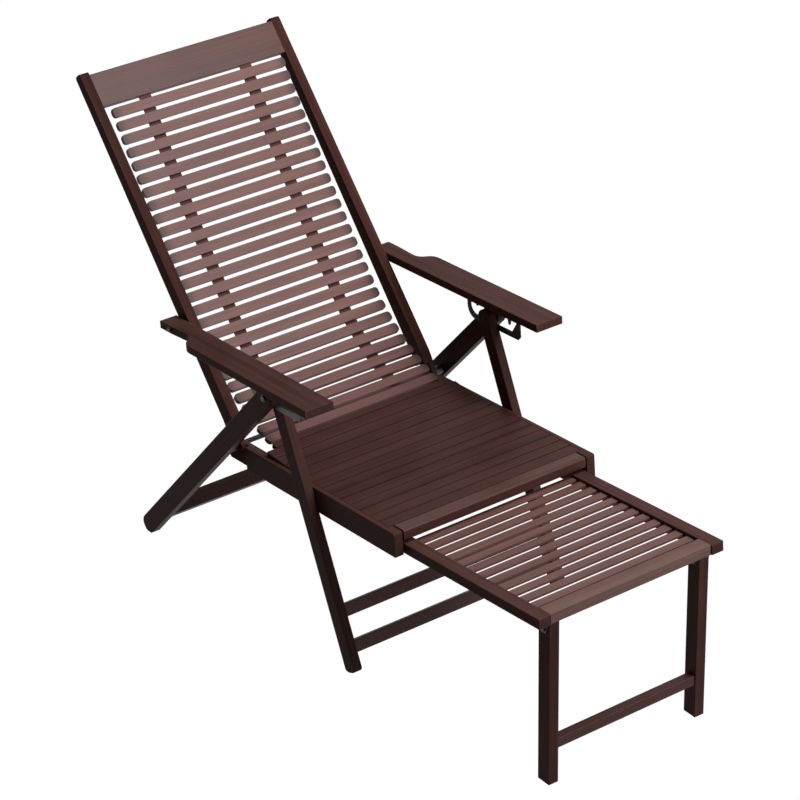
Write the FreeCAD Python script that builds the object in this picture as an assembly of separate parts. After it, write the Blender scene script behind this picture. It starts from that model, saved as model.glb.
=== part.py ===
import FreeCAD, Part
import math
import os

# Bamboo folding recliner with slide-out footrest.
# Units are mm. X runs across the chair, -Y is the foot end, +Z is up.
# The sitter faces -Y, so the sitter's left side is +X.
# The origin is on the floor below the middle of the chair's outline.

# Pivots, as Y and Z
AXLE_Y = 202.0
AXLE_Z = 345.5
LEG_TOP_Y = 21.0
LEG_TOP_Z = 554.5
SEAT_PIVOT_Y = -74.0
SEAT_PIVOT_Z = 346.5
ARM_PIVOT_Y = 377.0
ARM_PIVOT_Z = 562.5
FRONT_FOOT_Y = -226.8
REAR_FOOT_Y = 526.8
FOOTREST_FRONT_Y = -786.0
FOOTREST_FRONT_Z = 403.0

# Slopes in degrees, positive when the part rises toward +Y
SEAT_SLOPE = -4.45
BACK_SLOPE = 48.4
ARM_SLOPE = -4.36
FOOTREST_SLOPE = -5.28

# Layers across the width, outward from the middle plane
SIDE_OUT = 258.0
STILE_THICK = 22.0
RAIL_PLAY = 0.6
LAYER_GAP = 2.0
FRONT_LEG_THICK = 21.0
REAR_LEG_GAP = 3.0
REAR_LEG_THICK = 21.0

# Clearances
RUNNING = 0.06
LAP_GAP = 0.4
EDGE_EASE = 1.6
SLAT_EASE = 0.7
CUT_OVERRUN = 1.0
PICK_REACH = 1.0

# Hardware
ROD_R = 5.5
PIN_R = 3.0
HEAD_R = 6.5
HEAD_H = 3.2
SMALL_HEAD_R = 4.6
WASHER_H = 1.0
WASHER_LIP = 1.5
COLLAR_R = 10.0
COLLAR_PLAY = 0.3
AXLE_BURIED = 14.0
BOLT_RECESS = 1.0

# Seat
RAIL_DEPTH = 54.0
RAIL_TOP = 5.4
RAIL_FRONT = -561.0
RAIL_NOSE_R = 5.0
LAP_START = -31.0
TONGUE_R = 20.0
TAIL_REACH = 55.0
TAIL_TOP = -33.0
TAIL_CHAMFER = 9.0
SEAT_SLAT_COUNT = 13
SEAT_PITCH = 33.2
SEAT_SLAT_GAP = 2.0
SEAT_LIP = 10.0
SLAT_END_PLAY = 0.8
FRONT_BOARD_PLAY = 3.6
SLAT_THICK = 9.5
FRONT_BOARD_THICK = 23.5
LINK_SLAT_WIDTH = 20.0
LINK_SLAT_INSET = 25.0
SEAT_RISE = 14.6
SEAT_FLAT_END = -250.0
SEAT_REAR_END = -76.4
LEDGE_WIDE = 15.0
LEDGE_DEEP = 16.0
STRAP_X = 130.5
STRAP_WIDE = 30.0
STRAP_THICK = 1.6
STRAP_PLAY = 0.9

# Back
STILE_FRONT = 26.8
STILE_TOP = 862.5
STILE_END_R = 19.5
STILE_NECK = 45.0
STILE_REAR_LOW = -12.0
STILE_REAR_MID = -7.0
STILE_REAR_TOP = 2.4
STILE_LOW_U = 62.0
STILE_MID_U = 325.0
STILE_CORNER_R = 7.0
HEAD_LOW = 778.5
HEAD_HIGH = 855.0
HEAD_THICK = 16.0
HEAD_RECESS = 1.0
HEAD_TO_SLATS = 10.5
BACK_SLAT_COUNT = 27
BACK_SLAT_WIDE = 22.0
BACK_SLAT_INSET = 12.7
BACK_SLAT_END_R = 8.0
BOW_TOP_W = 31.5
BOW_UPPER_U = 470.0
BOW_UPPER_W = 3.0
BOW_LOW_U = 193.0
BOW_LOW_W = -7.5
BOW_KNEE_U = 84.0
BOW_KNEE_W = 16.5
BOW_END_U = -27.6
BOW_END_W = 71.5

# Legs and their cross members
FRONT_LEG_WIDE = 35.0
FRONT_FOOT_R = 10.0
REAR_LEG_WIDE = 43.0
REAR_TOP_REACH = 20.5
REAR_FOOT_R = 20.0
FOOT_TRIM = 1.2
STRETCHER_THICK = 13.0
UPPER_STRETCHER_START = 461.0
LOWER_STRETCHER_START = 539.5
STRETCHER_DEEP = 28.0
REAR_BAR_START = 634.0
REAR_BAR_LOW = -20.0
REAR_BAR_WIDE = 37.0
REAR_BAR_THICK = 18.0

# Armrests
ARM_THICK = 18.0
ARM_IN = 259.0
ARM_OUT = 327.5
ARM_FRONT = -541.0
ARM_REAR = 37.0
ARM_SHOULDER = -118.0
ARM_NECK = -58.0
ARM_NECK_OUT = 297.0
ARM_TAIL_OUT = 301.0
ARM_OUTER_R = 10.0
ARM_INNER_R = 4.0
ARM_TAIL_R = 7.0
ARM_TAIL_INNER_R = 18.0

# Notched steel plate below each armrest
RACK_THICK = 2.6
RACK_FRONT = -454.0
RACK_REAR = -272.5
RACK_SLOT_TOP = -17.0
RACK_TOOTH = -20.4
RACK_END_TOOTH = -28.5
RACK_SLOT_FLOOR = -42.0
RACK_BOTTOM = -55.0
RACK_PITCH = 27.75
RACK_TOOTH_COUNT = 5
RACK_TOOTH_WIDE = 11.0
RACK_TIP_R = 3.4
RACK_SLANT = 17.0
RACK_FIRST_TOOTH = -306.4
RACK_END_WALL = 11.0
RACK_SLOT_END_R = 19.0
RACK_FOOT = 8.0

# Footrest
FOOT_OUT = 232.5
FOOT_RAIL_WIDE = 30.5
FOOT_RAIL_DEEP = 23.0
FOOT_RAIL_LENGTH = 490.0
FOOT_FRONT_SETBACK = 3.0
FOOT_FRONT_WIDE = 37.0
FOOT_SLAT_COUNT = 12
FOOT_PITCH = 33.5
FOOT_SLAT_WIDE = 22.5
FOOT_SLAT_THICK = 5.0
FOOT_FIRST_GAP = 11.0
FOOT_RECESS = 6.0
FOOT_SLAT_PLAY = 1.5
FOOT_LEDGE_WIDE = 3.0
RUNNER_GAP = 0.6
RUNNER_DEEP = 4.0
RUNNER_START = 450.0
RUNNER_LENGTH = 200.0
RUNNER_WIDE = 20.0
FOOT_LEG_IN = 176.5
FOOT_LEG_THICK = 25.0
FOOT_LEG_DEEP = 34.0
FOOT_LEG_SETBACK = 6.0
FOOT_LEG_GAP = 0.8
FOOT_LEG_R = 16.0
LEG_BAR_LOW = 77.0
LEG_BAR_HIGH = 100.0
LEG_BAR_DEEP = 20.0
BRACKET_THICK = 2.0
BRACKET_LONG = 54.0
BRACKET_WIDE = 12.0

# Named positions that follow from the sizes above
STILE_IN = SIDE_OUT - STILE_THICK
RAIL_IN = STILE_IN + RAIL_PLAY
LAP_FACE = (STILE_IN + SIDE_OUT) / 2.0
SEAT_SLAT_HALF = SIDE_OUT - SEAT_LIP - SLAT_END_PLAY
FRONT_BOARD_HALF = RAIL_IN - FRONT_BOARD_PLAY
LINK_SLAT_HALF = SEAT_SLAT_HALF - LINK_SLAT_INSET
BACK_SLAT_HALF = STILE_IN - BACK_SLAT_INSET
BOW_TOP_U = HEAD_LOW - HEAD_TO_SLATS
FRONT_LEG_IN = SIDE_OUT + LAYER_GAP
FRONT_LEG_OUT = FRONT_LEG_IN + FRONT_LEG_THICK
REAR_LEG_IN = FRONT_LEG_OUT + REAR_LEG_GAP
REAR_LEG_OUT = REAR_LEG_IN + REAR_LEG_THICK
AXLE = (AXLE_Y, AXLE_Z)
LEG_TOP = (LEG_TOP_Y, LEG_TOP_Z)
SEAT_PIVOT = (SEAT_PIVOT_Y, SEAT_PIVOT_Z)
ARM_PIVOT = (ARM_PIVOT_Y, ARM_PIVOT_Z)
FRONT_FOOT = (FRONT_FOOT_Y, 0.0)
REAR_FOOT = (REAR_FOOT_Y, 0.0)
SIDES = (("left", 1), ("right", -1))


def vec(y, z, x=0.0):
    return FreeCAD.Vector(x, y, z)


class Frame:
    """Directions u along and w across a sloping part, seen from the side."""

    def __init__(self, origin, degrees):
        turn = math.radians(degrees)
        self.origin = origin
        self.degrees = degrees
        self.cos = math.cos(turn)
        self.sin = math.sin(turn)

    def at(self, u, w):
        y = self.origin[0] + u * self.cos - w * self.sin
        z = self.origin[1] + u * self.sin + w * self.cos
        return (y, z)

    def place(self, shape):
        """Carry a shape drawn with u as Y and w as Z to its place."""
        placed = shape.copy()
        placed.rotate(vec(0, 0), FreeCAD.Vector(1, 0, 0), self.degrees)
        placed.translate(vec(*self.origin))
        return placed


def frame_between(start, end):
    rise = end[1] - start[1]
    run = end[0] - start[0]
    return Frame(start, math.degrees(math.atan2(rise, run)))


SEAT = Frame(AXLE, SEAT_SLOPE)
BACK = Frame(AXLE, BACK_SLOPE)
ARM = Frame(ARM_PIVOT, ARM_SLOPE)
FOOTREST = Frame((FOOTREST_FRONT_Y, FOOTREST_FRONT_Z), FOOTREST_SLOPE)
FRONT_LEG = frame_between(LEG_TOP, FRONT_FOOT)
REAR_LEG = frame_between(LEG_TOP, REAR_FOOT)


def polygon(points):
    corners = [vec(*point) for point in points]
    return Part.Face(Part.makePolygon(corners + corners[:1]))


def disc(centre, radius):
    circle = Part.Circle(vec(*centre), FreeCAD.Vector(1, 0, 0), radius)
    return Part.Face(Part.Wire(circle.toShape()))


def plate(face, x_in, x_out):
    """Give a side-view outline its thickness, from x_in out to x_out."""
    solid = face.extrude(FreeCAD.Vector(x_out - x_in, 0, 0))
    solid.translate(FreeCAD.Vector(x_in, 0, 0))
    return solid.removeSplitter()


def joined(first, *others):
    return first.fuse(list(others)).removeSplitter()


def rounded(solid, radius, chosen):
    """Round the edges whose midpoint the test accepts."""
    edges = [edge for edge in solid.Edges if chosen(edge)]
    if not edges:
        return solid
    return solid.makeFillet(radius, edges)


def middle(edge):
    return edge.valueAt((edge.FirstParameter + edge.LastParameter) / 2.0)


def runs_across(edge):
    return abs(edge.tangentAt(edge.FirstParameter).x) > 0.999


def near(point, target, reach):
    return math.hypot(point.y - target[0], point.z - target[1]) < reach


def eased(solid):
    """Ease every edge that lies in one of the two side faces."""
    box = solid.BoundBox

    def on_side(edge):
        bounds = edge.BoundBox
        flat = bounds.XLength < LAP_GAP
        return flat and min(abs(bounds.XMin - box.XMin), abs(bounds.XMax - box.XMax)) < LAP_GAP

    return rounded(solid, EDGE_EASE, on_side)


def rod(centre, radius, x_in, x_out):
    origin = FreeCAD.Vector(x_in, centre[0], centre[1])
    return Part.makeCylinder(radius, x_out - x_in, origin, FreeCAD.Vector(1, 0, 0))


def hole(solid, centre, radius):
    box = solid.BoundBox
    return solid.cut(rod(centre, radius, box.XMin - CUT_OVERRUN, box.XMax + CUT_OVERRUN))


def domed_head(centre, x_face, radius):
    """A bolt head and washer that stand on the plane x_face."""
    tip = x_face + WASHER_H + HEAD_H
    washer = rod(centre, radius + WASHER_LIP, x_face, x_face + WASHER_H)
    head = rod(centre, radius, x_face, tip)
    head = rounded(head, HEAD_H / 2.0, lambda edge: abs(middle(edge).x - tip) < LAP_GAP)
    return joined(washer, head)


def mirrored(solid, side):
    if side > 0:
        return solid
    return solid.mirror(FreeCAD.Vector(0, 0, 0), FreeCAD.Vector(1, 0, 0))


def both(solid):
    return [mirrored(solid, 1), mirrored(solid, -1)]


def save(name, solids):
    shape = solids[0] if len(solids) == 1 else Part.makeCompound(solids)
    os.makedirs("parts", exist_ok=True)
    shape.exportStep("parts/" + name + ".step")


def save_pair(name, solid):
    for side_name, side in SIDES:
        save(name + "_" + side_name, [mirrored(solid, side)])


def arc_edge(start, through, end):
    return Part.Arc(vec(*start), vec(*through), vec(*end)).toShape()


def line_edge(start, end):
    return Part.LineSegment(vec(*start), vec(*end)).toShape()


def along_path(edges, distance):
    """Point and direction at a distance along joined edges."""
    left = distance
    for edge in edges:
        if left <= edge.Length or edge is edges[-1]:
            break
        left -= edge.Length
    parameter = edge.getParameterByLength(min(left, edge.Length))
    return edge.valueAt(parameter), edge.tangentAt(parameter)


def offset_points(edges, start, end, count, depth):
    """Points at a set depth below a path, spread from start to end."""
    points = []
    for index in range(count):
        distance = start + (end - start) * index / (count - 1)
        point, tangent = along_path(edges, distance)
        points.append((point.y + tangent.z * depth, point.z - tangent.y * depth))
    return points


def smooth_edge(points):
    curve = Part.BSplineCurve()
    curve.interpolate([vec(*point) for point in points])
    return curve.toShape()


def band(edges, start, end, depth_near, depth_far, x_in, x_out):
    """A strip that follows a path between two depths below it."""
    count = 9
    upper = offset_points(edges, start, end, count, depth_near)
    lower = offset_points(edges, start, end, count, depth_far)
    ring = [smooth_edge(upper), line_edge(upper[-1], lower[-1]),
            smooth_edge(lower[::-1]), line_edge(lower[0], upper[0])]
    return plate(Part.Face(Part.Wire(ring)), x_in, x_out)


def slat(half_length, width, thick, end_r):
    """A slat lying flat, its first top edge on the X axis, running toward +Y."""
    box = Part.makeBox(2.0 * half_length, width, thick)
    box.translate(FreeCAD.Vector(-half_length, 0, -thick))
    box = rounded(box, end_r, lambda edge: abs(edge.tangentAt(edge.FirstParameter).z) > 0.99)
    return rounded(box, SLAT_EASE, lambda edge: abs(middle(edge).z) < LAP_GAP)


def slat_on_path(edges, distance, width, blank):
    """Lay a slat so that both its top edges touch the path."""
    first, tangent = along_path(edges, distance)
    second, tangent = along_path(edges, distance + width)
    turn = math.degrees(math.atan2(second.z - first.z, second.y - first.y))
    placed = blank.copy()
    placed.rotate(FreeCAD.Vector(0, 0, 0), FreeCAD.Vector(1, 0, 0), turn)
    placed.translate(FreeCAD.Vector(0, first.y, first.z))
    return placed


# Rear frame: legs, cross bar and the axle that everything turns on

def leg_outline(frame, start, width, foot_r):
    """A straight leg whose round-cornered foot just dips below the floor line."""
    half = width / 2.0
    inset = half - foot_r
    low_side = -inset if frame.cos > 0 else inset
    rise = foot_r - FOOT_TRIM - frame.origin[1] - low_side * frame.cos
    end = rise / frame.sin
    body = polygon([frame.at(start, -half), frame.at(end, -half), frame.at(end, half),
                    frame.at(start, half)])
    toe = polygon([frame.at(end - foot_r, -inset), frame.at(end + foot_r, -inset),
                   frame.at(end + foot_r, inset), frame.at(end - foot_r, inset)])
    corners = [disc(frame.at(end, inset), foot_r), disc(frame.at(end, -inset), foot_r)]
    return joined(body, toe, disc(frame.at(start, 0), half), *corners)


def floor_cut(face):
    """Trim an outline level with the floor."""
    box = face.BoundBox
    reach = box.YLength + box.ZLength
    corners = [(box.YMin - reach, 0), (box.YMax + reach, 0),
               (box.YMax + reach, -reach), (box.YMin - reach, -reach)]
    return face.cut(polygon(corners))


def rear_leg():
    start = REAR_LEG_WIDE / 2.0 - REAR_TOP_REACH
    outline = floor_cut(leg_outline(REAR_LEG, start, REAR_LEG_WIDE, REAR_FOOT_R))
    leg = eased(plate(outline, REAR_LEG_IN, REAR_LEG_OUT))
    bore = rod(AXLE, ROD_R + RUNNING, REAR_LEG_IN - CUT_OVERRUN, REAR_LEG_IN + AXLE_BURIED)
    return hole(leg.cut(bore), LEG_TOP, PIN_R + RUNNING)


def rear_cross_bar():
    high = REAR_BAR_LOW + REAR_BAR_WIDE
    end = REAR_BAR_START + REAR_BAR_THICK
    face = polygon([REAR_LEG.at(REAR_BAR_START, REAR_BAR_LOW), REAR_LEG.at(end, REAR_BAR_LOW),
                    REAR_LEG.at(end, high), REAR_LEG.at(REAR_BAR_START, high)])
    bar = plate(face, -REAR_LEG_IN, REAR_LEG_IN)
    return rounded(bar, EDGE_EASE, runs_across)


def axle_rod():
    end = REAR_LEG_IN + AXLE_BURIED
    return rod(AXLE, ROD_R, -end, end)


def axle_collar():
    tube = rod(AXLE, COLLAR_R, SIDE_OUT + COLLAR_PLAY, REAR_LEG_IN)
    return hole(tube, AXLE, ROD_R + RUNNING)


def leg_top_bolt():
    pin = rod(LEG_TOP, PIN_R, FRONT_LEG_IN, REAR_LEG_OUT)
    return joined(pin, domed_head(LEG_TOP, REAR_LEG_OUT, HEAD_R))


# Front leg frame

def front_leg():
    outline = floor_cut(leg_outline(FRONT_LEG, 0.0, FRONT_LEG_WIDE, FRONT_FOOT_R))
    leg = eased(plate(outline, FRONT_LEG_IN, FRONT_LEG_OUT))
    leg = hole(leg, LEG_TOP, PIN_R + RUNNING)
    return hole(leg, SEAT_PIVOT, PIN_R + RUNNING)


def stretcher(start):
    half = STRETCHER_THICK / 2.0
    face = polygon([FRONT_LEG.at(start, -half), FRONT_LEG.at(start + STRETCHER_DEEP, -half),
                    FRONT_LEG.at(start + STRETCHER_DEEP, half), FRONT_LEG.at(start, half)])
    board = plate(face, -FRONT_LEG_IN, FRONT_LEG_IN)
    return rounded(board, EDGE_EASE, runs_across)


def seat_pivot_bolt():
    """The bolt keeps to the leg and stops short of the moving seat rail."""
    return rod(SEAT_PIVOT, PIN_R, FRONT_LEG_IN - LAYER_GAP / 2.0, FRONT_LEG_OUT - BOLT_RECESS)


# Seat

def seat_path():
    """Top line of the seat, rising toward the back in one arc."""
    flat = SEAT.at(SEAT_FLAT_END, RAIL_TOP)
    run = SEAT_REAR_END - SEAT_FLAT_END
    knee = SEAT.at(SEAT_FLAT_END + run / 2.0, RAIL_TOP + SEAT_RISE / 4.0)
    end = SEAT.at(SEAT_REAR_END, RAIL_TOP + SEAT_RISE)
    return [line_edge(SEAT.at(RAIL_FRONT, RAIL_TOP), flat), arc_edge(flat, knee, end)]


def seat_rail():
    low = RAIL_TOP - RAIL_DEPTH
    crest = math.sqrt(TONGUE_R ** 2 - RAIL_TOP ** 2)
    turn = math.atan2(RAIL_TOP, crest) / 2.0
    arc = arc_edge(SEAT.at(crest, RAIL_TOP),
                   SEAT.at(TONGUE_R * math.cos(turn), TONGUE_R * math.sin(turn)),
                   SEAT.at(TONGUE_R, 0))
    tail = [SEAT.at(TONGUE_R, 0), SEAT.at(TAIL_REACH, TAIL_TOP),
            SEAT.at(TAIL_REACH, low + TAIL_CHAMFER), SEAT.at(TAIL_REACH - TAIL_CHAMFER, low),
            SEAT.at(RAIL_FRONT, low), SEAT.at(RAIL_FRONT, RAIL_TOP), SEAT.at(crest, RAIL_TOP)]
    edges = [arc] + [line_edge(a, b) for a, b in zip(tail, tail[1:])]
    inner = plate(Part.Face(Part.Wire(edges)), RAIL_IN, LAP_FACE - LAP_GAP / 2.0)
    block = polygon([SEAT.at(RAIL_FRONT, low), SEAT.at(RAIL_FRONT, RAIL_TOP),
                     SEAT.at(LAP_START, RAIL_TOP), SEAT.at(LAP_START, low)])
    outer = plate(block, LAP_FACE - LAP_GAP / 2.0, SIDE_OUT)
    rail = joined(inner, outer)
    nose = SEAT.at(RAIL_FRONT, RAIL_TOP)
    heel = SEAT.at(RAIL_FRONT, low)
    rail = rounded(rail, RAIL_NOSE_R,
                   lambda edge: near(middle(edge), nose, PICK_REACH) and runs_across(edge))
    rail = rounded(rail, RAIL_NOSE_R / 2.0,
                   lambda edge: near(middle(edge), heel, PICK_REACH) and runs_across(edge))
    rail = eased_top(rail).cut(slat_rabbet())
    return hole(rail, AXLE, ROD_R + RUNNING)


def slat_rabbet():
    """Step in the rail's inner top edge that the ends of the seat slats lie in."""
    start = SEAT_PITCH - SEAT_SLAT_GAP / 2.0
    end = SEAT_PITCH * (SEAT_SLAT_COUNT + 1) - SEAT_SLAT_GAP / 2.0
    above = -SEAT_RISE
    below = SLAT_THICK + SEAT_SLAT_GAP / 4.0
    return band(seat_path(), start, end, above, below, RAIL_IN - CUT_OVERRUN, SIDE_OUT - SEAT_LIP)


def eased_top(rail):
    """Ease the long top edges of a seat rail."""
    start = SEAT.at(RAIL_FRONT + RAIL_NOSE_R, RAIL_TOP)

    def long_top(edge):
        point = middle(edge)
        level = (point.z - start[1]) * SEAT.cos - (point.y - start[0]) * SEAT.sin
        return abs(level) < LAP_GAP and edge.Length > RAIL_DEPTH

    return rounded(rail, EDGE_EASE, long_top)


def seat_front_board():
    deep = SEAT_PITCH - SEAT_SLAT_GAP
    low = RAIL_TOP - FRONT_BOARD_THICK
    face = polygon([SEAT.at(RAIL_FRONT, low), SEAT.at(RAIL_FRONT + deep, low),
                    SEAT.at(RAIL_FRONT + deep, RAIL_TOP), SEAT.at(RAIL_FRONT, RAIL_TOP)])
    board = plate(face, -FRONT_BOARD_HALF, FRONT_BOARD_HALF)
    nose = SEAT.at(RAIL_FRONT, RAIL_TOP)
    board = rounded(board, RAIL_NOSE_R, lambda edge: near(middle(edge), nose, PICK_REACH))
    heel = SEAT.at(RAIL_FRONT, low)
    return rounded(board, RAIL_NOSE_R / 2.0, lambda edge: near(middle(edge), heel, PICK_REACH))


def seat_slats():
    path = seat_path()
    blank = slat(SEAT_SLAT_HALF, SEAT_PITCH - SEAT_SLAT_GAP, SLAT_THICK, EDGE_EASE)
    slats = []
    for index in range(SEAT_SLAT_COUNT):
        distance = SEAT_PITCH * (index + 1)
        slats.append(slat_on_path(path, distance, SEAT_PITCH - SEAT_SLAT_GAP, blank))
    link = slat(LINK_SLAT_HALF, LINK_SLAT_WIDTH - SEAT_SLAT_GAP, SLAT_THICK, SLAT_THICK / 2.0)
    distance = SEAT_PITCH * (SEAT_SLAT_COUNT + 1)
    slats.append(slat_on_path(path, distance, LINK_SLAT_WIDTH - SEAT_SLAT_GAP, link))
    return slats


def seat_ledge():
    """Carries the slat ends along the inner face of a seat rail."""
    path = seat_path()
    start = SEAT_PITCH
    end = SEAT_PITCH * (SEAT_SLAT_COUNT + 1) + LINK_SLAT_WIDTH / 2.0
    near_depth = SLAT_THICK + SEAT_SLAT_GAP / 4.0
    x_in = LINK_SLAT_HALF - LEDGE_WIDE / 2.0
    return band(path, start, end, near_depth, near_depth + LEDGE_DEEP, x_in, RAIL_IN)


def seat_strap():
    path = seat_path()
    start = SEAT_PITCH * (SEAT_SLAT_COUNT - 3)
    end = SEAT_PITCH * (SEAT_SLAT_COUNT + 1) + LINK_SLAT_WIDTH - SEAT_SLAT_GAP
    depth = SLAT_THICK + STRAP_PLAY
    half = STRAP_WIDE / 2.0
    return band(path, start, end, depth, depth + STRAP_THICK, STRAP_X - half, STRAP_X + half)


def footrest_runner():
    """Strip on the seat rail that the footrest rail slides along."""
    start = RUNNER_START
    top = -FOOT_RAIL_DEEP - RUNNER_GAP
    reach = RUNNER_LENGTH
    face = polygon([FOOTREST.at(start, top - RUNNER_DEEP), FOOTREST.at(start + reach, top - RUNNER_DEEP),
                    FOOTREST.at(start + reach, top), FOOTREST.at(start, top)])
    strip = plate(face, RAIL_IN - RUNNER_WIDE, RAIL_IN)
    return rounded(strip, EDGE_EASE, runs_across)


# Back

def back_path():
    """Front line of the back slats, from the top down to the seat."""
    top = BACK.at(BOW_TOP_U, BOW_TOP_W)
    upper = BACK.at(BOW_UPPER_U, BOW_UPPER_W)
    low = BACK.at(BOW_LOW_U, BOW_LOW_W)
    knee = BACK.at(BOW_KNEE_U, BOW_KNEE_W)
    end = BACK.at(BOW_END_U, BOW_END_W)
    return [arc_edge(end, knee, low), arc_edge(low, upper, top)]


def back_stile():
    front = STILE_FRONT
    body = [(0, STILE_END_R), (STILE_NECK, front), (STILE_TOP, front), (STILE_TOP, STILE_REAR_TOP),
            (STILE_MID_U, STILE_REAR_MID), (STILE_LOW_U, STILE_REAR_LOW), (0, -STILE_END_R)]
    outline = joined(polygon([BACK.at(*point) for point in body]), disc(AXLE, STILE_END_R))
    outer = plate(outline, LAP_FACE + LAP_GAP / 2.0, SIDE_OUT)
    inner = plate(outline, STILE_IN, LAP_FACE + LAP_GAP / 2.0)
    inner = inner.cut(rod(AXLE, -LAP_START, STILE_IN - CUT_OVERRUN, SIDE_OUT))
    stile = joined(inner, outer)
    corners = (BACK.at(STILE_TOP, front), BACK.at(STILE_TOP, STILE_REAR_TOP))

    def top_corner(edge):
        hits = [near(middle(edge), corner, PICK_REACH) for corner in corners]
        return runs_across(edge) and any(hits)

    stile = rounded(stile, STILE_CORNER_R, top_corner)
    stile = hole(stile, AXLE, ROD_R + RUNNING)
    return hole(stile, ARM_PIVOT, PIN_R + RUNNING)


def headrest_panel():
    front = STILE_FRONT - HEAD_RECESS
    face = polygon([BACK.at(HEAD_LOW, front - HEAD_THICK), BACK.at(HEAD_HIGH, front - HEAD_THICK),
                    BACK.at(HEAD_HIGH, front), BACK.at(HEAD_LOW, front)])
    panel = plate(face, -STILE_IN, STILE_IN)
    return rounded(panel, EDGE_EASE, runs_across)


def back_slat_pitch():
    length = sum(edge.Length for edge in back_path())
    return (length - BACK_SLAT_WIDE) / (BACK_SLAT_COUNT - 1)


def back_slats():
    path = back_path()
    pitch = back_slat_pitch()
    blank = slat(BACK_SLAT_HALF, BACK_SLAT_WIDE, SLAT_THICK, BACK_SLAT_END_R)
    return [slat_on_path(path, pitch * index, BACK_SLAT_WIDE, blank) for index in range(BACK_SLAT_COUNT)]


def back_strap():
    """Webbing that carries the back slats, from the headrest panel to the seat."""
    path = back_path()
    half = STRAP_WIDE / 2.0
    depth = SLAT_THICK + STRAP_PLAY
    bounds = (STRAP_X - half, STRAP_X + half)
    lower = band(path, 0, path[0].Length, depth, depth + STRAP_THICK, *bounds)
    length = sum(edge.Length for edge in path)
    upper = band(path, path[0].Length, length, depth, depth + STRAP_THICK, *bounds)
    near_w = BOW_TOP_W - depth
    far_w = near_w - STRAP_THICK
    start = BOW_TOP_U - STRAP_THICK
    face = polygon([BACK.at(start, far_w), BACK.at(HEAD_LOW, far_w), BACK.at(HEAD_LOW, near_w),
                    BACK.at(start, near_w)])
    return joined(lower, upper, plate(face, *bounds))


def armrest_bolt():
    """Bolt on which an armrest turns, held in the stile."""
    head_face = ARM_TAIL_OUT + COLLAR_PLAY
    pin = rod(ARM_PIVOT, PIN_R, STILE_IN + STILE_THICK / 4.0, head_face)
    return joined(pin, domed_head(ARM_PIVOT, head_face, SMALL_HEAD_R))


# Armrests

def arm_outline():
    """Plan of an armrest: broad in front, waisted to a narrow tail."""
    half = ARM_THICK / 2.0
    waist = (ARM_SHOULDER + ARM_NECK) / 2.0
    centre_x = (ARM_OUT + ARM_NECK_OUT) / 2.0
    start = FreeCAD.Vector(ARM_OUT, ARM_SHOULDER, half)
    end = FreeCAD.Vector(ARM_NECK_OUT, ARM_NECK, half)
    curve = Part.BezierCurve()
    curve.setPoles([start, FreeCAD.Vector(ARM_OUT, waist, half),
                    FreeCAD.Vector(centre_x, waist, half),
                    FreeCAD.Vector(ARM_NECK_OUT, waist, half), end])
    tail = FreeCAD.Vector(ARM_TAIL_OUT, 0, half)
    rear = FreeCAD.Vector(ARM_TAIL_OUT, ARM_REAR, half)
    inner_rear = FreeCAD.Vector(ARM_IN, ARM_REAR, half)
    inner_front = FreeCAD.Vector(ARM_IN, ARM_FRONT, half)
    outer_front = FreeCAD.Vector(ARM_OUT, ARM_FRONT, half)
    points = [end, tail, rear, inner_rear, inner_front, outer_front, start]
    edges = [curve.toShape()] + [Part.LineSegment(a, b).toShape() for a, b in zip(points, points[1:])]
    return Part.Face(Part.Wire(edges))


def armrest():
    board = arm_outline().extrude(FreeCAD.Vector(0, 0, -ARM_THICK))

    def upright(edge):
        return abs(edge.tangentAt(edge.FirstParameter).z) > 0.99

    def corner(x, y):
        spot = FreeCAD.Vector(x, y, -ARM_THICK / 2.0)
        return lambda edge: upright(edge) and middle(edge).distanceToPoint(spot) < PICK_REACH

    board = rounded(board, ARM_OUTER_R, corner(ARM_OUT, ARM_FRONT))
    board = rounded(board, ARM_INNER_R, corner(ARM_IN, ARM_FRONT))
    board = rounded(board, ARM_TAIL_R, corner(ARM_TAIL_OUT, ARM_REAR))
    board = rounded(board, ARM_TAIL_INNER_R, corner(ARM_IN, ARM_REAR))
    top = ARM_THICK / 2.0
    board = rounded(board, EDGE_EASE, lambda edge: abs(abs(middle(edge).z) - top) < LAP_GAP / 4.0)
    board = ARM.place(board)
    return hole(board, ARM_PIVOT, PIN_R + RUNNING)


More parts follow.
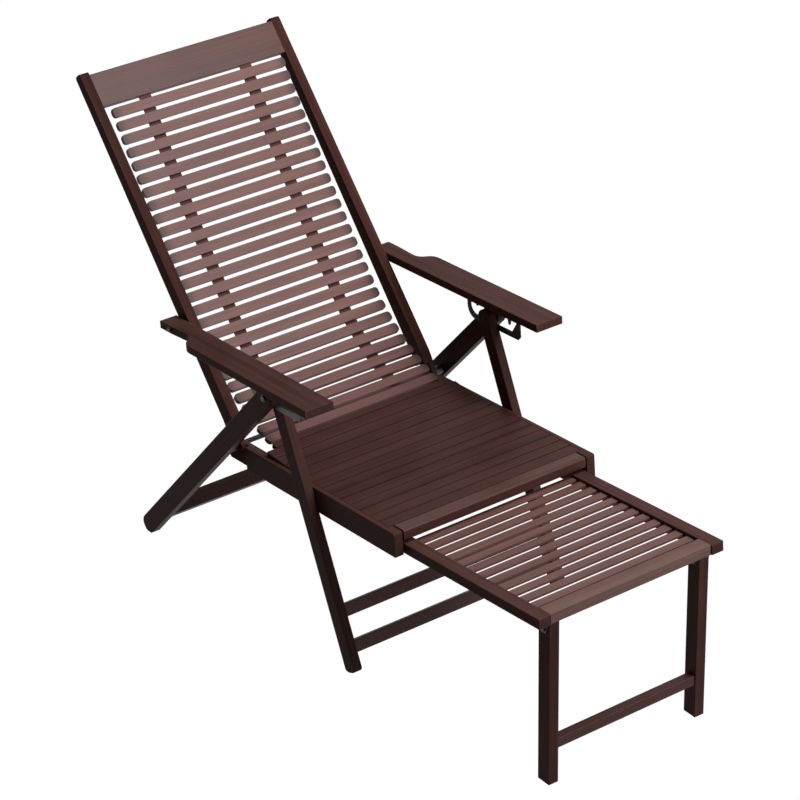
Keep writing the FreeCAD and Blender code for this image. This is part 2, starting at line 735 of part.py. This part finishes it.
def rack():
    """Steel plate with a notched slot for the bolt at the leg tops."""
    top = -ARM_THICK / 2.0

    def at(u, depth):
        return (u, depth + top)

    def at_corner(target):
        return lambda edge: runs_across(edge) and near(middle(edge), target, PICK_REACH)

    outline = [at(RACK_FRONT, 0), at(RACK_REAR, 0), at(RACK_REAR, RACK_BOTTOM),
               at(RACK_FRONT + RACK_FOOT, RACK_BOTTOM), at(RACK_FRONT, RACK_BOTTOM + RACK_FOOT)]
    front = RACK_FRONT + RACK_END_WALL
    rear = RACK_REAR - RACK_END_WALL
    slot = [at(front, RACK_SLOT_TOP), at(rear, RACK_SLOT_TOP), at(rear, RACK_SLOT_FLOOR),
            at(front + RACK_SLANT, RACK_SLOT_FLOOR)]
    x_in = FRONT_LEG_OUT + (REAR_LEG_GAP - RACK_THICK) / 2.0
    plate_solid = plate(polygon(outline), x_in, x_in + RACK_THICK)
    plate_solid = rounded(plate_solid, -RACK_BOTTOM / 2.0, at_corner(outline[2]))
    opening = plate(polygon(slot), x_in, x_in + RACK_THICK)
    opening = rounded(opening, RACK_SLOT_END_R, at_corner(slot[2]))
    opening = rounded(opening, RACK_TIP_R, at_corner(slot[3]))
    solid = plate_solid.cut(opening)
    for index in range(RACK_TOOTH_COUNT):
        tip = RACK_END_TOOTH if index == RACK_TOOTH_COUNT - 1 else RACK_TOOTH
        solid = joined(solid, rack_tooth(RACK_FIRST_TOOTH - RACK_PITCH * index, top, tip, x_in))
    return ARM.place(solid)


def rack_tooth(u, top, tip, x_in):
    """The teeth within the bolt's travel are short, so that it can pass."""
    half = RACK_TOOTH_WIDE / 2.0
    root = RACK_SLOT_TOP + top + RACK_THICK
    centre = (u, tip + top + RACK_TIP_R)
    face = polygon([(u - half, root), (u + half, root), (u + RACK_TIP_R, centre[1]),
                    (u - RACK_TIP_R, centre[1])])
    return plate(joined(face, disc(centre, RACK_TIP_R)), x_in, x_in + RACK_THICK)


# Footrest

def footrest_rail():
    low = -FOOT_RAIL_DEEP
    face = polygon([FOOTREST.at(0, low), FOOTREST.at(FOOT_RAIL_LENGTH, low),
                    FOOTREST.at(FOOT_RAIL_LENGTH, 0), FOOTREST.at(0, 0)])
    rail = plate(face, FOOT_OUT - FOOT_RAIL_WIDE, FOOT_OUT)
    rail = rounded(rail, EDGE_EASE, lambda edge: True)
    return rail


def footrest_front_rail():
    inner = FOOT_OUT - FOOT_RAIL_WIDE
    start = FOOT_FRONT_SETBACK
    end = start + FOOT_FRONT_WIDE
    low = -FOOT_RAIL_DEEP
    face = polygon([FOOTREST.at(start, low), FOOTREST.at(end, low), FOOTREST.at(end, 0),
                    FOOTREST.at(start, 0)])
    rail = plate(face, -inner, inner)
    return rounded(rail, EDGE_EASE, runs_across)


def foot_slats_start():
    return FOOT_FRONT_SETBACK + FOOT_FRONT_WIDE + FOOT_FIRST_GAP


def footrest_slats():
    half = FOOT_OUT - FOOT_RAIL_WIDE - FOOT_SLAT_PLAY
    blank = slat(half, FOOT_SLAT_WIDE, FOOT_SLAT_THICK, FOOT_SLAT_THICK / 2.0)
    slats = []
    for index in range(FOOT_SLAT_COUNT):
        piece = blank.copy()
        start = foot_slats_start() + FOOT_PITCH * index
        piece.translate(FreeCAD.Vector(0, start, -FOOT_RECESS))
        slats.append(FOOTREST.place(piece))
    return slats


def footrest_ledge():
    inner = FOOT_OUT - FOOT_RAIL_WIDE
    start = FOOT_FRONT_SETBACK + FOOT_FRONT_WIDE
    end = start + FOOT_PITCH * FOOT_SLAT_COUNT
    high = -FOOT_RECESS - FOOT_SLAT_THICK
    low = -FOOT_RAIL_DEEP
    face = polygon([FOOTREST.at(start, low), FOOTREST.at(end, low), FOOTREST.at(end, high),
                    FOOTREST.at(start, high)])
    return plate(face, inner - FOOT_LEDGE_WIDE, inner)


def foot_pivot():
    """Centre of the bolt that a footrest leg folds on."""
    y = FOOTREST_FRONT_Y + FOOT_LEG_SETBACK + FOOT_LEG_DEEP / 2.0
    under = FOOTREST.at(FOOT_LEG_DEEP, -FOOT_RAIL_DEEP)[1]
    return (y, under - FOOT_LEG_GAP - FOOT_LEG_R)


def footrest_leg():
    centre = foot_pivot()
    half = FOOT_LEG_DEEP / 2.0
    top = centre[1] + FOOT_LEG_R
    face = polygon([(centre[0] - half, 0), (centre[0] + half, 0), (centre[0] + half, top),
                    (centre[0] - half, top)])
    leg = plate(face, FOOT_LEG_IN, FOOT_LEG_IN + FOOT_LEG_THICK)
    rear_top = (centre[0] + half, top)
    leg = rounded(leg, FOOT_LEG_R - LAP_GAP,
                  lambda edge: runs_across(edge) and near(middle(edge), rear_top, PICK_REACH))
    return hole(eased(leg), centre, PIN_R + RUNNING)


def footrest_leg_bar():
    centre = foot_pivot()
    front = centre[0] - FOOT_LEG_DEEP / 2.0 + FOOT_FRONT_SETBACK
    face = polygon([(front, LEG_BAR_LOW), (front + LEG_BAR_DEEP, LEG_BAR_LOW),
                    (front + LEG_BAR_DEEP, LEG_BAR_HIGH), (front, LEG_BAR_HIGH)])
    bar = plate(face, -FOOT_LEG_IN, FOOT_LEG_IN)
    return rounded(bar, EDGE_EASE, runs_across)


def leg_bracket():
    """Steel angle below a footrest rail, with an ear beside the leg."""
    centre = foot_pivot()
    x_in = FOOT_LEG_IN + FOOT_LEG_THICK + COLLAR_PLAY
    under = -FOOT_RAIL_DEEP
    half = BRACKET_LONG / 2.0
    middle_u = FOOT_LEG_DEEP
    ear_top = [FOOTREST.at(middle_u - half + BRACKET_THICK, under), FOOTREST.at(middle_u + half, under)]
    ear = polygon([ear_top[0], ear_top[1], (centre[0] + FOOT_LEG_R, centre[1] - FOOT_LEG_R / 2.0),
                   (centre[0] - FOOT_LEG_R / 2.0, centre[1] - FOOT_LEG_R / 2.0)])
    ear = plate(ear, x_in, x_in + BRACKET_THICK)
    flange = polygon([ear_top[0], ear_top[1], FOOTREST.at(middle_u + half, under - BRACKET_THICK),
                      FOOTREST.at(middle_u - half + BRACKET_THICK, under - BRACKET_THICK)])
    flange = plate(flange, x_in, x_in + BRACKET_WIDE)
    return hole(joined(ear, flange), centre, PIN_R + RUNNING)


def leg_pivot_bolt():
    """Bolt held by the ear; the leg turns on it."""
    centre = foot_pivot()
    x_in = FOOT_LEG_IN
    x_out = FOOT_LEG_IN + FOOT_LEG_THICK + COLLAR_PLAY + BRACKET_THICK
    pin = rod(centre, PIN_R, x_in, x_out)
    return joined(pin, rod(centre, HEAD_R, x_out, x_out + HEAD_H))


def build():
    save_pair("rear_leg", rear_leg())
    save("rear_cross_bar", [rear_cross_bar()])
    save("axle_rod", [axle_rod()])
    save("axle_collars", both(axle_collar()))
    save("leg_top_bolts", both(leg_top_bolt()))
    save_pair("front_leg", front_leg())
    save("front_stretcher_upper", [stretcher(UPPER_STRETCHER_START)])
    save("front_stretcher_lower", [stretcher(LOWER_STRETCHER_START)])
    save("seat_pivot_bolts", both(seat_pivot_bolt()))
    save_pair("seat_rail", seat_rail())
    save("seat_front_board", [seat_front_board()])
    save("seat_slats", seat_slats())
    save_pair("seat_ledge", seat_ledge())
    save_pair("seat_strap", seat_strap())
    save_pair("footrest_runner", footrest_runner())
    save_pair("back_stile", back_stile())
    save("headrest_panel", [headrest_panel()])
    save("back_slats", back_slats())
    save_pair("back_strap", back_strap())
    save("armrest_bolts", both(armrest_bolt()))
    save_pair("armrest", armrest())
    save_pair("rack", rack())
    save_pair("footrest_rail", footrest_rail())
    save("footrest_front_rail", [footrest_front_rail()])
    save("footrest_slats", footrest_slats())
    save_pair("footrest_ledge", footrest_ledge())
    save("leg_brackets", both(leg_bracket()))
    save("leg_pivot_bolts", both(leg_pivot_bolt()))
    save_pair("footrest_leg", footrest_leg())
    save("footrest_leg_bar", [footrest_leg_bar()])


build()
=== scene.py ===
import math

import bpy
from mathutils import Matrix, Vector

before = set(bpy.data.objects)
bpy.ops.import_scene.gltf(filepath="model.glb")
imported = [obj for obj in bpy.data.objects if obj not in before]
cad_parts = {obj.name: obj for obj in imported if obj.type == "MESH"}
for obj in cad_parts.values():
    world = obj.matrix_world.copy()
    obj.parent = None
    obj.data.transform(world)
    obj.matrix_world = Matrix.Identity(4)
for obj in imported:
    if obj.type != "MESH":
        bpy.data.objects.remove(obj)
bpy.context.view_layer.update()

# Folding bamboo recliner, in metres. The foot end points toward -Y, +Z is up.

# Camera, solved from left and right pairs of the chair. Angles in degrees.
CAMERA_AT = (-3.50866, -4.86580, 3.82393)
CAMERA_AZIMUTH = -35.971
CAMERA_ELEVATION = 29.33
CAMERA_ROLL = -1.109
LENS_MM = 147.87
SENSOR_MM = 36.0
CLIP_END = 60.0

# Stage
WHITE = (1.0, 1.0, 1.0, 1.0)
FLOOR_HALF = 14.0
FLOOR_GREY = (0.3, 0.3, 0.3, 1.0)
FLOOR_ROUGHNESS = 0.9
AMBIENT = (0.06, 0.06, 0.06, 1.0)

# Lamps: name, place, target, watts and width of each square lamp
LAMPS = (
    ("head", (0.55, -0.75, 2.75), (0.0, 0.5, 0.7), 50.0, 1.0),
    ("front", (1.5, -2.6, 2.2), (0.0, -0.3, 0.3), 44.0, 1.4),
    ("low", (1.0, -2.7, 0.45), (0.0, -0.2, 0.15), 9.0, 0.8),
)

# Stained bamboo: colours are linear, lengths in metres, scales per metre
FRAME_DARK = (0.040, 0.0170, 0.0140)
FRAME_LIGHT = (0.095, 0.0435, 0.0365)
RUBBED = (0.17, 0.085, 0.068, 1.0)
# Near-black edge colour of the seat slats: painted shade for the shaded gaps between them.
SEAT_GAP_SHADE = (0.014, 0.005, 0.004, 1.0)
# The slats darken toward this colour near both ends, between the two distances below from the middle of
# the chair.
SLAT_END_DARK = (0.012, 0.006, 0.005, 1.0)
SLAT_END_DARK_START = 0.194
SLAT_END_DARK_END = 0.232
FIBRE_FINE = 420.0
FIBRE_LONG = 3.0
STRIP_ACROSS = 34.0
STRIP_ACROSS_RUN = 0.7
STRIP_ALONG = 60.0
STRIP_ALONG_RUN = 0.9
CLOUDS = (9.0, 9.0, 9.0)
FIBRE_SHARE = 0.45
STRIP_SHARE = 0.35
CLOUD_SHARE = 0.2
TONE_LOW = 0.34
TONE_HIGH = 0.66
FIBRE_BUMP = 0.15
FIBRE_DEPTH = 0.0004
FLAT_DOT = 0.995
EDGE_DOT = 0.85
EDGE_RADIUS = 0.0025
EDGE_SAMPLES = 4
RUBBED_STRENGTH = 0.35
# How far the seat slats' edges go toward that painted gap shade.
SEAT_GAP_SHADE_STRENGTH = 0.9
SATIN = 0.4
SOFT_SATIN = 0.48
STILE_SATIN = 0.5
POLISHED = 0.28
SMOOTHER = 0.05
ROUGHER = 0.08
DULL = 0.02
FAINT_GLOSS = 0.1
LOW_GLOSS = 0.12
BACK_GLOSS = 0.3

# Steel and webbing
STEEL_DARK = (0.010, 0.010, 0.011)
STEEL_LIGHT = (0.020, 0.019, 0.019)
STEEL_METALLIC = 0.4
STEEL_ROUGHNESS = 0.35
STEEL_BUMP = 0.1
STEEL_DEPTH = 0.0003
GRIT = (420.0, 420.0, 420.0)
GRIT_LOW = 0.3
GRIT_HIGH = 0.7
WEB_DARK = (0.07, 0.022, 0.018)
WEB_LIGHT = (0.19, 0.07, 0.06)
WEB_ROUGHNESS = 0.85
WEB_BUMP = 0.4
WEB_DEPTH = 0.0005
THREAD_SCALE = 190.0
THREAD_WAVER = 0.5
RIB_SCALE = 110.0
RIB_WAVER = 0.8

# Slopes in the side view, in degrees, that the fibres of each board follow
SLOPES = {"seat": -4.45, "arm": -4.36, "foot": -5.28, "front": 65.93, "rear": -47.63, "upright": 90.0}
BACK_SLOPE = 48.4


def link(obj):
    bpy.context.scene.collection.objects.link(obj)
    return obj


def add_camera():
    az = math.radians(CAMERA_AZIMUTH)
    el = math.radians(CAMERA_ELEVATION)
    roll = math.radians(CAMERA_ROLL)
    back = Vector((math.sin(az) * math.cos(el), -math.cos(az) * math.cos(el), math.sin(el)))
    right = Vector((math.cos(az), math.sin(az), 0.0))
    up = back.cross(right)
    right_rolled = right * math.cos(roll) + up * math.sin(roll)
    up_rolled = up * math.cos(roll) - right * math.sin(roll)
    turn = Matrix((right_rolled, up_rolled, back)).transposed().to_4x4()
    data = bpy.data.cameras.new("camera")
    data.lens = LENS_MM
    data.sensor_width = SENSOR_MM
    data.clip_end = CLIP_END
    camera = link(bpy.data.objects.new("camera", data))
    camera.matrix_world = Matrix.Translation(CAMERA_AT) @ turn
    bpy.context.scene.camera = camera


# Materials

class Nodes:
    """Short way to add and join shader nodes."""

    def __init__(self, name):
        self.material = bpy.data.materials.new(name)
        self.material.use_nodes = True
        self.tree = self.material.node_tree
        self.shader = self.tree.nodes["Principled BSDF"]

    def add(self, kind, inputs=None, **settings):
        node = self.tree.nodes.new(kind)
        for key, value in settings.items():
            setattr(node, key, value)
        for key, value in (inputs or {}).items():
            if isinstance(value, bpy.types.NodeSocket):
                self.tree.links.new(value, node.inputs[key])
            else:
                node.inputs[key].default_value = value
        return node

    def join(self, output, target):
        self.tree.links.new(output, target)

    def coords(self):
        return self.add("ShaderNodeTexCoord").outputs["Object"]

    def noise(self, coords, scale, detail, roughness):
        stretch = self.add("ShaderNodeMapping", {"Vector": coords, "Scale": scale})
        noise = self.add("ShaderNodeTexNoise", {"Vector": stretch.outputs["Vector"], "Scale": 1.0,
                                                "Detail": detail, "Roughness": roughness})
        return noise.outputs["Fac"]

    def mixed_sum(self, *terms):
        """Weighted sum of several outputs."""
        total = None
        for output, weight in terms:
            part = self.add("ShaderNodeMath", {0: output, 1: weight}, operation="MULTIPLY").outputs[0]
            if total is not None:
                part = self.add("ShaderNodeMath", {0: total, 1: part}, operation="ADD").outputs[0]
            total = part
        return total

    def ramp(self, value, low, high):
        ramp = self.add("ShaderNodeValToRGB", {"Fac": value})
        for element, (position, color) in zip(ramp.color_ramp.elements, (low, high)):
            element.position = position
            element.color = (*color, 1.0)
        return ramp.outputs["Color"]

    def toward(self, color, other, factor):
        """Mix a colour toward a fixed one."""
        mix = self.add("ShaderNodeMix", {"Factor": factor}, data_type="RGBA")
        self.join(color, mix.inputs["A"])
        mix.inputs["B"].default_value = other
        return mix.outputs["Result"]

    def bump(self, height, strength, distance):
        bump = self.add("ShaderNodeBump", {"Height": height, "Strength": strength, "Distance": distance})
        self.join(bump.outputs["Normal"], self.shader.inputs["Normal"])

    def set(self, name, value):
        self.shader.inputs[name].default_value = value


def edge_wear_and_gap_shade(n, color, edge_color, strength):
    """Edges of a board mixed toward edge_color: stain rubbed a little lighter as wear, and on the seat
    slats near-black, painted shade for the gaps between them.
    """
    soft = n.add("ShaderNodeBevel", {"Radius": EDGE_RADIUS}, samples=EDGE_SAMPLES)
    sharp = n.add("ShaderNodeNewGeometry")
    same = n.add("ShaderNodeVectorMath", {0: soft.outputs["Normal"], 1: sharp.outputs["Normal"]},
                 operation="DOT_PRODUCT")
    edge = n.add("ShaderNodeMapRange", {"Value": same.outputs["Value"], "From Min": FLAT_DOT,
                                        "From Max": EDGE_DOT, "To Min": 0.0, "To Max": strength})
    return n.toward(color, edge_color, edge.outputs[0])


def darken_slat_ends(n, coords, color):
    """Slat ends that darken toward both stiles."""
    split = n.add("ShaderNodeSeparateXYZ", {"Vector": coords})
    far = n.add("ShaderNodeMath", {0: split.outputs["X"]}, operation="ABSOLUTE")
    dark_ends = n.add("ShaderNodeMapRange", {"Value": far.outputs[0], "From Min": SLAT_END_DARK_START,
                                         "From Max": SLAT_END_DARK_END}, interpolation_type="SMOOTHSTEP")
    return n.toward(color, SLAT_END_DARK, dark_ends.outputs[0])


def bamboo(name, dark, light, slope=None, roughness=SATIN, gloss=DULL, dark_ends=False,
           edge_color=RUBBED, edge_strength=RUBBED_STRENGTH):
    """Stained bamboo with fibres across the chair, or along a slope in the side view."""
    n = Nodes("bamboo " + name)
    coords = n.coords()
    if slope is None:
        turned = coords
        fibre_scale = (FIBRE_LONG, FIBRE_FINE, FIBRE_FINE)
        strip_scale = (STRIP_ACROSS_RUN, STRIP_ACROSS, STRIP_ACROSS)
    else:
        turn = n.add("ShaderNodeVectorRotate", {"Vector": coords, "Angle": -math.radians(slope)},
                     rotation_type="X_AXIS")
        turned = turn.outputs["Vector"]
        fibre_scale = (FIBRE_FINE, FIBRE_LONG, FIBRE_FINE)
        strip_scale = (STRIP_ALONG, STRIP_ALONG_RUN, STRIP_ALONG)
    fibres = n.noise(turned, fibre_scale, detail=5.0, roughness=0.6)
    strips = n.noise(turned, strip_scale, detail=1.0, roughness=0.5)
    clouds = n.noise(coords, CLOUDS, detail=2.0, roughness=0.5)
    tone = n.mixed_sum((fibres, FIBRE_SHARE), (strips, STRIP_SHARE), (clouds, CLOUD_SHARE))
    color = n.ramp(tone, (TONE_LOW, dark), (TONE_HIGH, light))
    if dark_ends:
        color = darken_slat_ends(n, coords, color)
    n.join(edge_wear_and_gap_shade(n, color, edge_color, edge_strength), n.shader.inputs["Base Color"])
    n.bump(fibres, FIBRE_BUMP, FIBRE_DEPTH)
    rough = n.add("ShaderNodeMapRange", {"Value": strips, "To Min": roughness - SMOOTHER,
                                         "To Max": roughness + ROUGHER})
    n.join(rough.outputs[0], n.shader.inputs["Roughness"])
    n.set("Specular IOR Level", gloss)
    return n.material


def steel():
    n = Nodes("black steel")
    grit = n.noise(n.coords(), GRIT, detail=2.0, roughness=0.5)
    color = n.ramp(grit, (GRIT_LOW, STEEL_DARK), (GRIT_HIGH, STEEL_LIGHT))
    n.join(color, n.shader.inputs["Base Color"])
    n.bump(grit, STEEL_BUMP, STEEL_DEPTH)
    n.set("Metallic", STEEL_METALLIC)
    n.set("Roughness", STEEL_ROUGHNESS)
    return n.material


def webbing():
    """Woven tape: fine ribs across it, threads along it."""
    n = Nodes("webbing")
    coords = n.coords()
    threads = n.add("ShaderNodeTexWave", {"Vector": coords, "Scale": THREAD_SCALE,
                                          "Distortion": THREAD_WAVER}, bands_direction="X")
    ribs = n.add("ShaderNodeTexWave", {"Vector": coords, "Scale": RIB_SCALE,
                                       "Distortion": RIB_WAVER}, bands_direction="Z")
    weave = n.add("ShaderNodeMath", {0: threads.outputs["Fac"], 1: ribs.outputs["Fac"]},
                  operation="MULTIPLY")
    color = n.ramp(weave.outputs[0], (0.0, WEB_DARK), (1.0, WEB_LIGHT))
    n.join(color, n.shader.inputs["Base Color"])
    n.bump(weave.outputs[0], WEB_BUMP, WEB_DEPTH)
    n.set("Roughness", WEB_ROUGHNESS)
    return n.material


CROSS = bamboo("cross boards", (0.046, 0.018, 0.0145), (0.106, 0.045, 0.037), gloss=LOW_GLOSS)
ALONG = {key: bamboo(key, FRAME_DARK, FRAME_LIGHT, slope) for key, slope in SLOPES.items()}
ALONG["back"] = bamboo("stiles", (0.034, 0.012, 0.0095), (0.078, 0.030, 0.024), BACK_SLOPE,
                       roughness=STILE_SATIN)
STEEL = steel()
WEB = webbing()

# Materials by the first letters of a piece's name; the first match counts
PAINT = (
    ("axle_", STEEL), ("leg_top_bolts", STEEL), ("seat_pivot_bolts", STEEL), ("armrest_bolts", STEEL),
    ("leg_brackets", STEEL), ("leg_pivot_bolts", STEEL), ("rack_", STEEL),
    ("seat_strap_", WEB), ("back_strap_", WEB),
    # Seat, back and footrest slats are one bamboo in lit and shaded copies. The back and footrest slats
    # are lighter where more light falls, and the seat slats darker where less does: painted light and
    # painted shade.
    ("back_slats", bamboo("back slats painted light", (0.092, 0.036, 0.030), (0.192, 0.088, 0.076), dark_ends=True,
                          roughness=SOFT_SATIN, gloss=BACK_GLOSS)),
    ("footrest_slats", bamboo("footrest slats painted light", (0.088, 0.038, 0.031), (0.185, 0.092, 0.076),
                              gloss=LOW_GLOSS)),
    # The seat slats' edges go nearly black: painted shade for the gaps between them.
    ("seat_slats", bamboo("seat slats painted shade", (0.034, 0.0140, 0.0115), (0.086, 0.038, 0.032),
                          edge_color=SEAT_GAP_SHADE, edge_strength=SEAT_GAP_SHADE_STRENGTH)),
    ("headrest_panel", bamboo("head panel", (0.052, 0.019, 0.015), (0.115, 0.047, 0.038),
                              roughness=SOFT_SATIN, gloss=BACK_GLOSS)),
    ("seat_front_board", bamboo("seat front", (0.046, 0.017, 0.013), (0.106, 0.042, 0.033),
                                roughness=POLISHED, gloss=FAINT_GLOSS)),
    # The footrest front rail is a lighter copy of the bamboo, standing in for the sheen on its top:
    # painted sheen.
    ("footrest_front_rail", bamboo("footrest front painted sheen", (0.105, 0.058, 0.050), (0.22, 0.132, 0.116))),
    ("footrest_leg_bar", CROSS),
    ("rear_leg_", ALONG["rear"]), ("front_leg_", ALONG["front"]), ("back_stile_", ALONG["back"]),
    ("seat_rail_", ALONG["seat"]), ("seat_ledge_", ALONG["seat"]), ("armrest_", ALONG["arm"]),
    ("footrest_runner_", ALONG["foot"]), ("footrest_rail_", ALONG["foot"]),
    ("footrest_ledge_", ALONG["foot"]), ("footrest_leg_", ALONG["upright"]),
)


def material_for(name):
    return next((material for start, material in PAINT if name.startswith(start)), CROSS)


def paint(obj, material):
    obj.data.materials.clear()
    obj.data.materials.append(material)


# Stage: white floor and backdrop, soft studio light

def seen_rays(tree):
    """One for rays that show the background: to the camera, mirrored or through glass."""
    path = tree.nodes.new("ShaderNodeLightPath")
    total = path.outputs["Is Camera Ray"]
    for name in ("Is Glossy Ray", "Is Transmission Ray"):
        larger = tree.nodes.new("ShaderNodeMath")
        larger.operation = "MAXIMUM"
        tree.links.new(total, larger.inputs[0])
        tree.links.new(path.outputs[name], larger.inputs[1])
        total = larger.outputs[0]
    return total


def add_floor():
    mesh = bpy.data.meshes.new("floor")
    corners = [(-FLOOR_HALF, -FLOOR_HALF, 0), (FLOOR_HALF, -FLOOR_HALF, 0),
               (FLOOR_HALF, FLOOR_HALF, 0), (-FLOOR_HALF, FLOOR_HALF, 0)]
    mesh.from_pydata(corners, [], [(0, 1, 2, 3)])
    floor = link(bpy.data.objects.new("floor", mesh))
    n = Nodes("floor white")
    n.set("Base Color", FLOOR_GREY)
    n.set("Roughness", FLOOR_ROUGHNESS)
    n.set("Specular IOR Level", 0.0)
    glow = n.add("ShaderNodeEmission", {"Color": WHITE, "Strength": 1.0})
    mix = n.add("ShaderNodeMixShader", {0: seen_rays(n.tree), 1: n.shader.outputs[0],
                                        2: glow.outputs[0]})
    n.join(mix.outputs[0], n.tree.nodes["Material Output"].inputs["Surface"])
    floor.data.materials.append(n.material)


def add_world():
    world = bpy.data.worlds.new("studio")
    bpy.context.scene.world = world
    world.use_nodes = True
    tree = world.node_tree
    mix = tree.nodes.new("ShaderNodeMixRGB")
    mix.inputs["Color1"].default_value = AMBIENT
    mix.inputs["Color2"].default_value = WHITE
    tree.links.new(seen_rays(tree), mix.inputs["Fac"])
    tree.links.new(mix.outputs["Color"], tree.nodes["Background"].inputs["Color"])


def add_lamp(name, place, target, watts, width):
    data = bpy.data.lights.new(name, "AREA")
    data.energy = watts
    data.size = width
    lamp = link(bpy.data.objects.new(name, data))
    aim = Vector(target) - Vector(place)
    lamp.matrix_world = Matrix.Translation(place) @ aim.to_track_quat("-Z", "Y").to_matrix().to_4x4()


for node_name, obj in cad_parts.items():
    paint(obj, material_for(node_name))
add_camera()
add_floor()
add_world()
for lamp_values in LAMPS:
    add_lamp(*lamp_values)
bpy.context.scene.view_settings.view_transform = "Standard"
